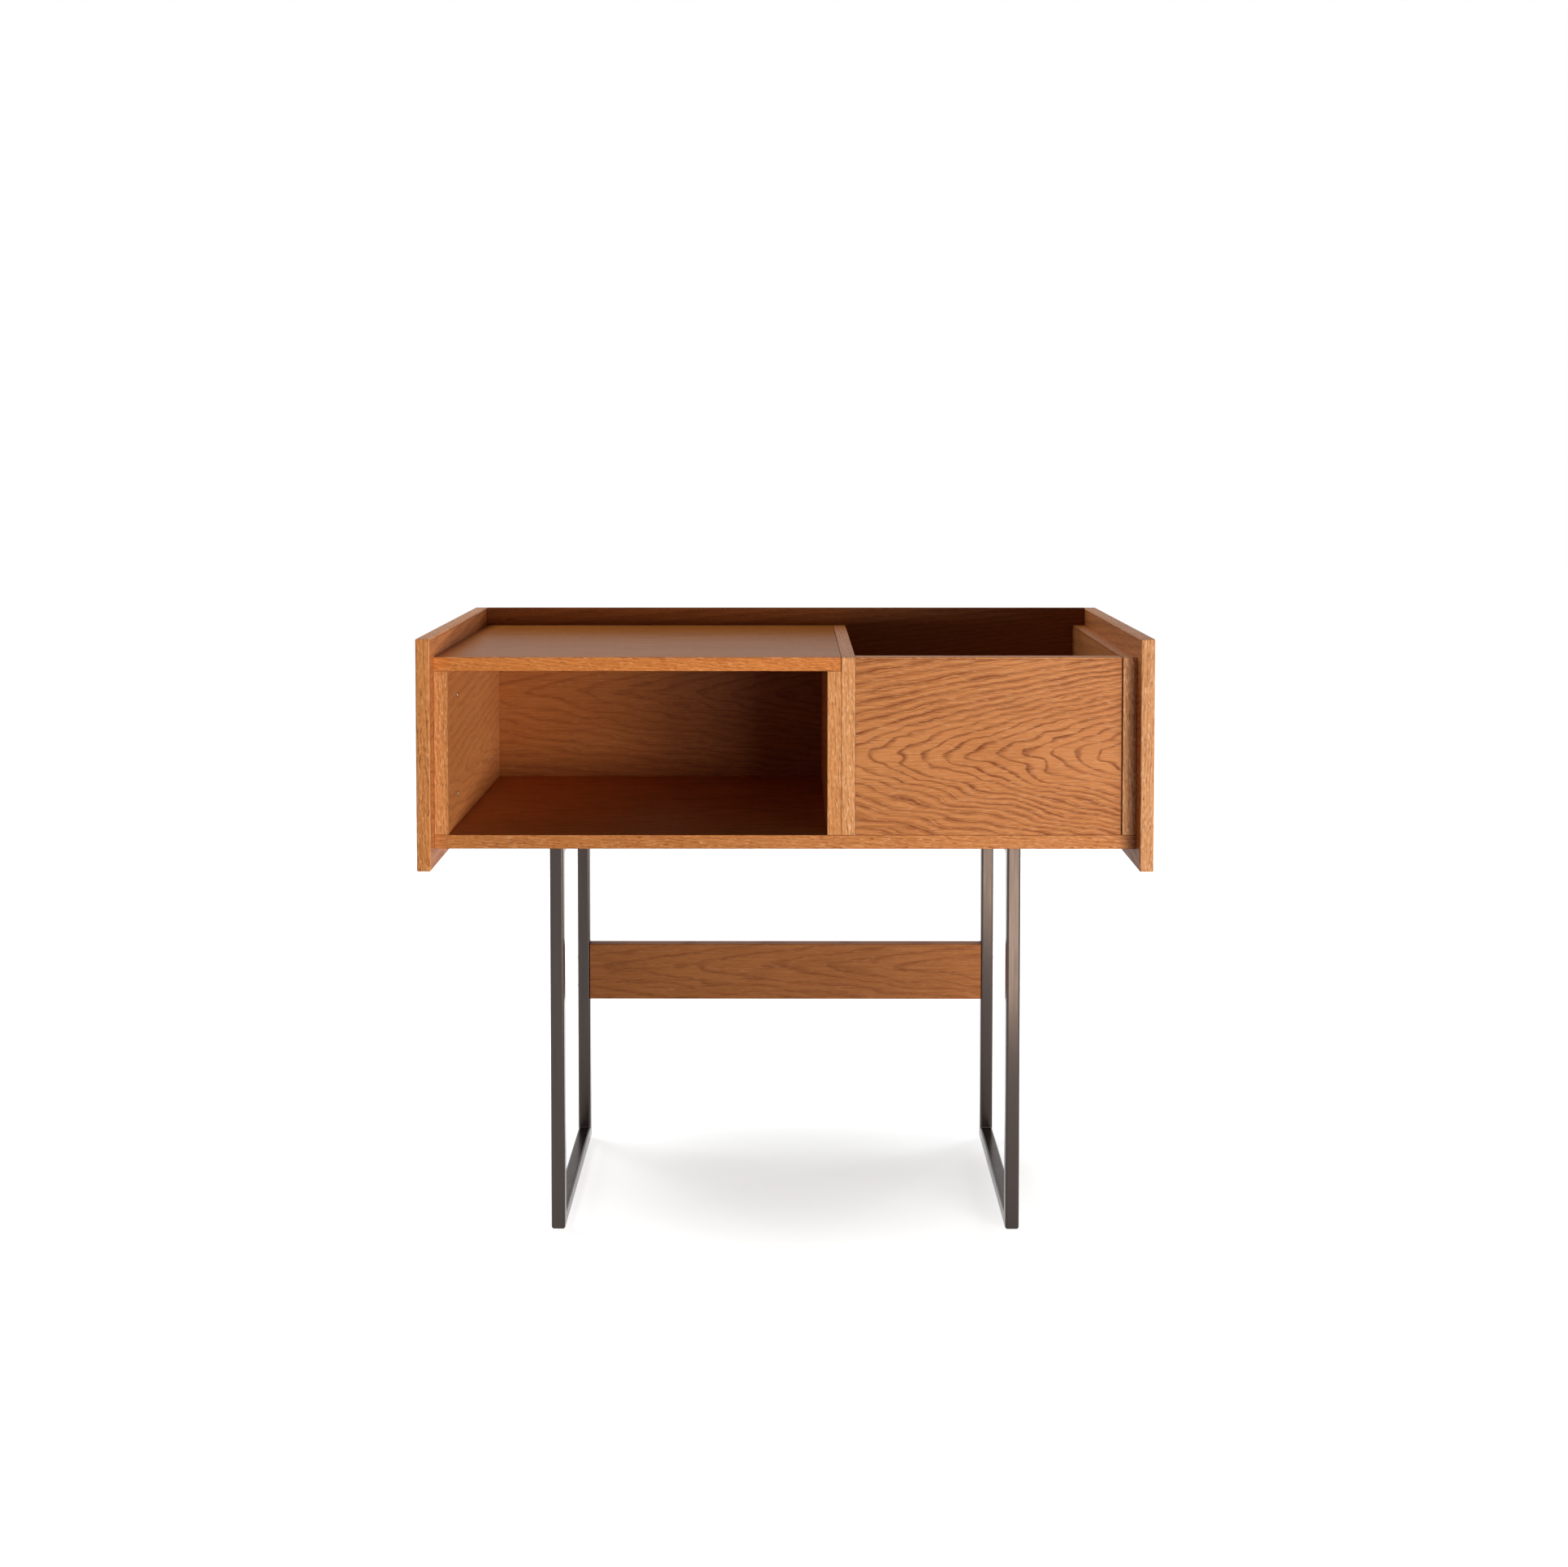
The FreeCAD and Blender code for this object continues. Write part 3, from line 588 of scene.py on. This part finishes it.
def screw_grid(sizes, head_radius, length):
    """A screw down its own Z from the head's face at zero, with a shank half as wide as its head.

    The face sinks by the recess depth inside two crossed slots whose walls slope a little. The shank's
    radius rises and falls by a helical ridge: one ridge for each pitch of depth, moved on by the angle.
    Over the last pitch it shrinks to the tip.
    """
    slope = RECESS_SLOPE_MM * MM
    chamfer = HEAD_CHAMFER_MM * MM
    half_width = sizes.recess_width / 2
    half_span = sizes.recess_span / 2
    face = np.concatenate([np.linspace(0, half_span + slope, FACE_RINGS), [head_radius - chamfer]])
    shank_rows = int(ROWS_A_PITCH * (length - sizes.head_height) / sizes.thread_pitch)
    shank = np.linspace(sizes.head_height, length, shank_rows)
    depth = np.concatenate([face * 0, [chamfer, sizes.head_height], shank, [length]])
    base = np.concatenate([face, [head_radius, head_radius], shank * 0 + head_radius / 2, [0]])
    grid = turned(base, -depth, SCREW_ROUNDS)

    x = np.abs(grid[:len(face), :, 0])
    y = np.abs(grid[:len(face), :, 1])
    slots = [np.clip((half_width - a) / slope + 0.5, 0, 1) * np.clip((half_span - b) / slope + 0.5, 0, 1)
             for a, b in ((x, y), (y, x))]
    grid[:len(face), :, 2] -= sizes.recess_depth * np.maximum(*slots)

    turn = np.arange(SCREW_ROUNDS) / SCREW_ROUNDS
    ridge = np.abs(2 * ((shank[:, None] / sizes.thread_pitch + turn) % 1) - 1)
    taper = np.clip((length - shank) / sizes.thread_pitch, 0, 1)[:, None]
    trim = (1 - THREAD_SHARE * ridge) * (TIP_SHARE + (1 - TIP_SHARE) * taper)
    first = len(face) + 2
    grid[first:first + len(shank), :, :2] *= trim[:, :, None]
    return grid


PLUG_RINGS = 12
PLUG_ROUNDS = 40


def plug_grid(sizes, stem, length):
    """An access plug along its own Z from the tube's face at zero.

    Its flange is a flat dome, whose height falls by the cube of the radius to nothing at the rim. Under it
    the stem runs down for the length.
    """
    share = np.linspace(0, 1, PLUG_RINGS)
    radii = np.concatenate([sizes.plug_flange * share, [stem, stem, 0]])
    heights = np.concatenate([sizes.plug_dome * (1 - share ** 3), [0, -length, -length]])
    return turned(radii, heights, PLUG_ROUNDS)


PAD_RINGS = 9
PAD_ROUNDS = 48
PAD_RAGGED_SHARE = 0.012
PAD_WAVES = (7, 11)


def pad_grid(sizes, radius, height):
    """A felt pad down its own Z from its upper face at zero.

    Its edge bulges by half a sine wave from the upper face to the lower one, and the whole outline wavers by
    the product of two waves round it.
    """
    swell = np.linspace(0, np.pi, PAD_RINGS)
    rim = radius - sizes.pad_edge + sizes.pad_edge * np.sin(swell)
    radii = np.concatenate([[0, radius / 2], rim, [radius / 2, 0]])
    heights = np.concatenate([[0, 0], -height * (1 - np.cos(swell)) / 2, [-height, -height]])
    grid = turned(radii, heights, PAD_ROUNDS)
    angle = np.linspace(0, 2 * np.pi, PAD_ROUNDS, endpoint=False)
    first, second = PAD_WAVES
    ragged = 1 - PAD_RAGGED_SHARE * (1 + np.sin(first * angle) * np.cos(second * angle + 1))
    grid[:, :, :2] *= ragged[None, :, None]
    return grid


# Boards, lippings and lamps

BOLD_GROWTH = Growth(2.1, 0.019, 33, 50, 34)
BROAD_GROWTH = Growth(6, 0.03, 90, 90, 40)
BACK_GROWTH = Growth(4, 0.03, 60, 70, 40)
SIDE_GROWTH = Growth(4, 0.025, 56, 60, 40)
QUIET_GROWTH = Growth(7, 0.03, 100, 80, 40)
STRETCHER_GROWTH = Growth(7, 0.05, 110, 120, 60)
DECK = "top_panel"
BOARDS = {
    "bin_front": Board("X", "Z", "#E0C9B2", 1.0, Figure(17, 103, 1, BOLD_GROWTH)),
    DECK: Board("X", "Y", "#E2C193", 0.25, Figure(150, 218, 1, BROAD_GROWTH)),
    "bottom_panel": Board("X", "Y", "#CDB59C", 0.4, Figure(250, 148, -1, BROAD_GROWTH)),
    # The back panel's darker tint is painted shade of its inner face, which stands above the deck out of the
    # low front light.
    "back_panel": Board("X", "Z", "#B0906E", 0.45, Figure(200, 170, 1, BACK_GROWTH)),
    "side_panel_left": Board("Y", "Z", "#DCC2AC", 0.55, Figure(92, 152, 1, SIDE_GROWTH)),
    "side_panel_right": Board("Y", "Z", "#DCC2AC", 0.55, Figure(352, 137, -1, SIDE_GROWTH)),
    "bay_upright_left": Board("Y", "Z", "#DCC2AC", 0.35, Figure(128, 68, 1, QUIET_GROWTH)),
    "bay_upright_right": Board("Y", "Z", "#DCC2AC", 0.35, Figure(218, 138, 1, QUIET_GROWTH)),
    "bin_wall_left": Board("Y", "Z", "#DCC2AC", 0.35, Figure(228, 118, -1, QUIET_GROWTH)),
    "bin_wall_right": Board("Y", "Z", "#DCC2AC", 0.35, Figure(168, 78, -1, QUIET_GROWTH)),
}
# The stretcher's darker tint is partly painted shade of its place under the cabinet. Its ends scale its
# colour as painted light: darker at the left end, lighter at the right, where the light falls.
STRETCHER = Board("X", "Z", "#B39B86", 0.5, Figure(29, 49, 1, STRETCHER_GROWTH))
STRETCHER_PAINTED_LIGHT = (0.78, 1.16)

LIPPING_DEPTH = 0.42
LIPPINGS = (
    (Board("X", "Z", "#F6D1A3", LIPPING_DEPTH, Strip(0.11, 4.6)), ["top_front_lipping"]),
    (Board("X", "Z", "#E2C9AC", LIPPING_DEPTH, Strip(0.08, 4.6)), ["bottom_front_lipping"]),
    (Board("X", "Y", "#E2C9AC", LIPPING_DEPTH, Strip(0.05, 4.6)), ["bin_front_lipping"]),
    (Board("Z", "X", "#F3DCC0", LIPPING_DEPTH, Strip(0.06, 4.6)), [
        "side_left_front_lipping", "side_left_rear_lipping"]),
    # The right side's lippings are tinted paler and greyer than the left side's: painted sheen of the light
    # from the right.
    (Board("Z", "X", "#EDE9EA", LIPPING_DEPTH, Strip(-0.05, 4.6)), [
        "side_right_front_lipping", "side_right_rear_lipping"]),
    (Board("Z", "X", "#F8ECDE", LIPPING_DEPTH, Strip(0.05, 5.2)), [
        "bay_left_lipping", "bay_right_lipping"]),
    (Board("Z", "X", "#FFF9F6", LIPPING_DEPTH, Strip(0.07, 5.2)), [
        "bin_left_front_lipping", "bin_right_front_lipping"]),
    (Board("Y", "X", "#EED6BC", LIPPING_DEPTH, Strip(0.04, 4.6)), [
        "side_left_top_lipping", "side_left_bottom_lipping",
        "side_right_top_lipping", "side_right_bottom_lipping"]),
    (Board("Y", "X", "#DDBF9C", LIPPING_DEPTH, Strip(0.04, 4.6)), [
        "bin_left_top_lipping", "bin_right_top_lipping"]),
)

# The key and the fill end at the deck's level. The floor panel only shows in what mirrors it, so it doesn't
# light what is matt.
Softbox = namedtuple("Softbox", "name place target size power tone lights_matt")
CABINET = (0.0, 0.0, 0.6)
OVERHEAD = (0.55, -1.74, 1.0)
WHITE = "#FFFFFF"
SOFT_WHITE = "#FFFAF4"
WARM_WHITE = "#FFECD6"
LAMPS = (
    Softbox("key softbox", (2.7, -3.0, 0.4), CABINET, (2.0, 0.7), "key_power", SOFT_WHITE, True),
    Softbox("fill softbox", (2.2, -4.0, 0.4), CABINET, (2.6, 0.7), "fill_power", SOFT_WHITE, True),
    Softbox("top softbox", (-1.5, 0.8, 3.0), CABINET, (1.6, 1.6), "top_power", WHITE, True),
    Softbox("floor panel", (0.55, -1.75, 0.02), OVERHEAD, (0.5, 1.5), "low_power", WARM_WHITE, False),
    Softbox("rear left softbox", (-2.5, 1.5, 0.8), CABINET, (1.4, 1.4), "rear_power", WHITE, True),
    Softbox("rear right softbox", (2.5, 1.9, 0.8), CABINET, (1.4, 1.4), "rear_power", WHITE, True),
)
FLOOR_REACH = 12.0
PAPER_SEEN = "#F0F3F4"
PAPER_UNSEEN = "#767676"
# The floor's shadow is an ellipse, wider than deep, whose middle lies behind the console's.
SHADOW_SHAPE = (0.7, 1.0, 1.0)
SHADOW_SHIFT = (0.0, -0.05, 0.0)


# Operators

class CONSOLE_OT_boards(bpy.types.Operator):
    """Dress the veneered boards in flat-sawn oak, each in its own leaf"""

    bl_idname = "console.boards"
    bl_label = "Veneered boards"

    def execute(self, context):
        finish = context.scene.console_finish
        deck_satin = (finish.deck_roughness, finish.deck_sheen)
        for node, board in BOARDS.items():
            satin = deck_satin if node == DECK else None
            dress([node], oak(node, board, finish, satin))
        return {"FINISHED"}


class CONSOLE_OT_lippings(bpy.types.Operator):
    """Dress the solid lippings in straight-grained oak along their length"""

    bl_idname = "console.lippings"
    bl_label = "Solid lippings"

    def execute(self, context):
        finish = context.scene.console_finish
        for board, nodes in LIPPINGS:
            for node in nodes:
                dress([node], oak(node, board, finish))
        return {"FINISHED"}


class CONSOLE_OT_stretcher(bpy.types.Operator):
    """Dress the stretcher in quieter flat-sawn oak, with painted light that makes it paler towards its right
    end
    """

    bl_idname = "console.stretcher"
    bl_label = "Stretcher"

    def execute(self, context):
        finish = context.scene.console_finish
        dress(["stretcher"], oak("stretcher", STRETCHER, finish, ends=STRETCHER_PAINTED_LIGHT))
        return {"FINISHED"}


class CONSOLE_OT_leg_frames(bpy.types.Operator):
    """Dress the leg frames in dark burnished steel"""

    bl_idname = "console.leg_frames"
    bl_label = "Leg frames"

    def execute(self, context):
        finish = context.scene.console_finish
        # Cold-drawn square tube, burnished and waxed: dark and brownish, with a soft mirror on its flats
        # and bright lines along its rounded corners.
        steel = fine_grained("burnished steel tube", finish.steel_light, finish.steel_dark,
                             size=(1.6, 1.6, 40), metallic=1.0, roughness=finish.steel_roughness, depth=0.004)
        dress(["leg_frame_left", "leg_frame_right"], steel)
        return {"FINISHED"}


class CONSOLE_OT_fixings(bpy.types.Operator):
    """Dress the dowels, bolts and inserts, and make the screws with their recess and thread"""

    bl_idname = "console.fixings"
    bl_label = "Dowels, bolts and screws"

    def execute(self, context):
        finish = context.scene.console_finish
        sizes = context.scene.console_sizes
        # Beech turned to a dowel: pale, even and finely flecked along its length.
        beech = fine_grained("beech dowel", finish.beech, shaded(finish.beech, 0.75), size=(0.8, 0.8, 6),
                             metallic=0.0, roughness=0.6, depth=0.05)
        dress(["floor_dowels", "top_dowels", "bin_front_dowels", "side_dowels"], beech)
        # Zinc plating over steel: dull silver, slightly clouded.
        zinc = fine_grained("zinc plated steel", finish.zinc, shaded(finish.zinc, 0.7), size=(0.6, 0.6, 0.6),
                            metallic=1.0, roughness=0.42, depth=0.01)
        dress(["leg_bolts", "leg_inserts", "stretcher_bolts", "stretcher_inserts"], zinc)
        for name, node, axis, facing in (
            ("back_panel_screws", "back_screws", Y_AXIS, np.ones_like),
            ("side_panel_screws", "side_screws", X_AXIS, to_middle),
        ):
            seats, outward, length, head_radius = seated(node, axis, facing)
            grid = screw_grid(sizes, head_radius, length)
            make_piece(name, set_out(grid, seats, outward), zinc, node)
        return {"FINISHED"}


class CONSOLE_OT_plugs(bpy.types.Operator):
    """Make the domed plugs in the rear legs' access holes"""

    bl_idname = "console.plugs"
    bl_label = "Access plugs"

    def execute(self, context):
        finish = context.scene.console_finish
        # Moulded polypropylene: black with a fine spark-eroded grain.
        plastic = fine_grained("black polypropylene", shaded(finish.plug, 1.4), finish.plug,
                               size=(0.7, 0.7, 0.7), metallic=0.0, roughness=0.45, depth=0.03)
        seats, outward, length, stem = seated("tube_plugs", X_AXIS, np.sign)
        grid = plug_grid(context.scene.console_sizes, stem, length)
        make_piece("access_plugs", set_out(grid, seats, outward), plastic, "tube_plugs")
        return {"FINISHED"}


class CONSOLE_OT_pads(bpy.types.Operator):
    """Make the felt pads under the leg frames"""

    bl_idname = "console.pads"
    bl_label = "Felt pads"

    def execute(self, context):
        finish = context.scene.console_finish
        # Needled wool felt: matt grey with short tangled fibres.
        felt = fine_grained("grey wool felt", shaded(finish.felt, 1.5), shaded(finish.felt, 0.7),
                            size=(0.5, 0.5, 0.3), metallic=0.0, roughness=0.9, depth=0.25)
        seats, outward, height, radius = seated("floor_pads", Z_AXIS, np.ones_like)
        grid = pad_grid(context.scene.console_sizes, radius, height)
        make_piece("felt_pads", set_out(grid, seats, outward), felt, "floor_pads")
        return {"FINISHED"}


class CONSOLE_OT_stage(bpy.types.Operator):
    """Set the floor, the even light, the softboxes and the camera"""

    bl_idname = "console.stage"
    bl_label = "Studio"

    def execute(self, context):
        scene = context.scene
        settings = scene.console_stage
        scene.view_settings.view_transform = "Standard"
        self.floor(scene, settings)
        self.world(scene, settings)
        for lamp in LAMPS:
            self.softbox(scene, settings, lamp)
        self.camera(scene, settings)
        return {"FINISHED"}

    @staticmethod
    def seen(tree):
        """A node that is 1 for the rays that show the background: camera, glossy and transmission."""
        path = add(tree, "LightPath").outputs
        shown = add(tree, "Math", [path["Is Camera Ray"], path["Is Glossy Ray"]], operation="MAXIMUM")
        return add(tree, "Math", [shown, path["Is Transmission Ray"]], operation="MAXIMUM")

    def floor(self, scene, settings):
        """A wide flat sheet that shows white, apart from a soft shadow under the console."""
        reach = FLOOR_REACH
        mesh = bpy.data.meshes.new("studio_floor")
        corners = [(-reach, -reach, 0), (reach, -reach, 0), (reach, reach, 0), (-reach, reach, 0)]
        mesh.from_pydata(corners, [], [(0, 1, 2, 3)])
        # Matt studio paper: white to the eye, and duller for the light it throws back on the console.
        material, tree, surface = blank("white studio paper")
        seen = self.seen(tree)
        white = add(tree, "Mix", {"Factor_Float": seen, "A_Color": (*linear(PAPER_UNSEEN), 1),
                                  "B_Color": (*linear(PAPER_SEEN), 1)}, data_type="RGBA")
        paper = add(tree, "BsdfDiffuse", [white])
        coordinates = add(tree, "TexCoord").outputs["Object"]
        place = add(tree, "VectorMath", [coordinates, SHADOW_SHAPE, SHADOW_SHIFT], operation="MULTIPLY_ADD")
        distance = add(tree, "VectorMath", [place], operation="LENGTH")
        start, end = settings.shadow_reach
        whiter = add(tree, "MapRange", {"Value": distance, "From Min": start, "From Max": end,
                                        "To Min": settings.floor_lift, "To Max": 1.0},
                     interpolation_type="SMOOTHSTEP")
        lift = add(tree, "Math", [seen, whiter], operation="MULTIPLY")
        glow = add(tree, "Emission", {"Strength": lift})
        tree.links.new(add(tree, "AddShader", [paper, glow]).outputs[0], surface)
        mesh.materials.append(material)
        floor = bpy.data.objects.new("studio_floor", mesh)
        scene.collection.objects.link(floor)

    def world(self, scene, settings):
        """Even light from all round, and plain white where the background shows."""
        world = bpy.data.worlds.new("studio light")
        world.use_nodes = True
        tree = world.node_tree
        tree.nodes.clear()
        strength = add(tree, "Math", [self.seen(tree), 1 - settings.sky, settings.sky],
                       operation="MULTIPLY_ADD")
        light = add(tree, "Background", {"Color": (1, 1, 1, 1), "Strength": strength})
        tree.links.new(light.outputs[0], add(tree, "OutputWorld").inputs["Surface"])
        scene.world = world

    def softbox(self, scene, settings, lamp):
        """A rectangular softbox that faces its target."""
        light = bpy.data.lights.new(lamp.name, "AREA")
        light.shape = "RECTANGLE"
        light.size, light.size_y = lamp.size
        light.energy = getattr(settings, lamp.power)
        light.color = linear(lamp.tone)
        holder = bpy.data.objects.new(lamp.name, light)
        holder.location = lamp.place
        facing = Vector(lamp.target) - Vector(lamp.place)
        holder.rotation_euler = facing.to_track_quat("-Z", "Y").to_euler()
        holder.visible_camera = False
        holder.visible_diffuse = lamp.lights_matt
        scene.collection.objects.link(holder)

    def camera(self, scene, settings):
        """The camera at the photograph's viewing angle, shifted as its framing needs."""
        lens = bpy.data.cameras.new("camera")
        lens.sensor_fit = "HORIZONTAL"
        lens.lens = settings.focal_pixels / IMAGE_WIDTH * lens.sensor_width
        lens.shift_y = (settings.centre_row - IMAGE_HEIGHT / 2) / IMAGE_WIDTH
        camera = bpy.data.objects.new("camera", lens)
        camera.location = settings.camera_place
        camera.rotation_euler = (math.pi / 2 - settings.camera_pitch, 0, settings.camera_yaw)
        scene.collection.objects.link(camera)
        scene.camera = camera


OPERATORS = (
    CONSOLE_OT_stage,
    CONSOLE_OT_boards,
    CONSOLE_OT_lippings,
    CONSOLE_OT_stretcher,
    CONSOLE_OT_leg_frames,
    CONSOLE_OT_fixings,
    CONSOLE_OT_plugs,
    CONSOLE_OT_pads,
)

SETTINGS = {
    "console_finish": ConsoleFinish,
    "console_sizes": ConsoleSizes,
    "console_stage": ConsoleStage,
}


class CONSOLE_PT_sidebar(bpy.types.Panel):
    """The console's settings and pieces in the 3D view's sidebar"""

    bl_label = "Media console"
    bl_idname = "CONSOLE_PT_sidebar"
    bl_space_type = "VIEW_3D"
    bl_region_type = "UI"
    bl_category = "Console"

    def draw(self, context):
        for group in SETTINGS:
            settings = getattr(context.scene, group)
            for name in settings.__annotations__:
                self.layout.prop(settings, name)
        for operator in OPERATORS:
            self.layout.operator(operator.bl_idname)


def register():
    """Register every class, and give the scene its settings."""
    for made in (*SETTINGS.values(), *OPERATORS, CONSOLE_PT_sidebar):
        bpy.utils.register_class(made)
    for name, group in SETTINGS.items():
        setattr(bpy.types.Scene, name, bpy.props.PointerProperty(type=group))


def unregister():
    """Undo register, in the opposite order."""
    for name in SETTINGS:
        delattr(bpy.types.Scene, name)
    for made in (CONSOLE_PT_sidebar, *reversed(OPERATORS), *reversed(SETTINGS.values())):
        bpy.utils.unregister_class(made)


def main():
    register()
    for operator in OPERATORS:
        group, name = operator.bl_idname.split(".")
        getattr(getattr(bpy.ops, group), name)()


if __name__ == "__main__":
    main()
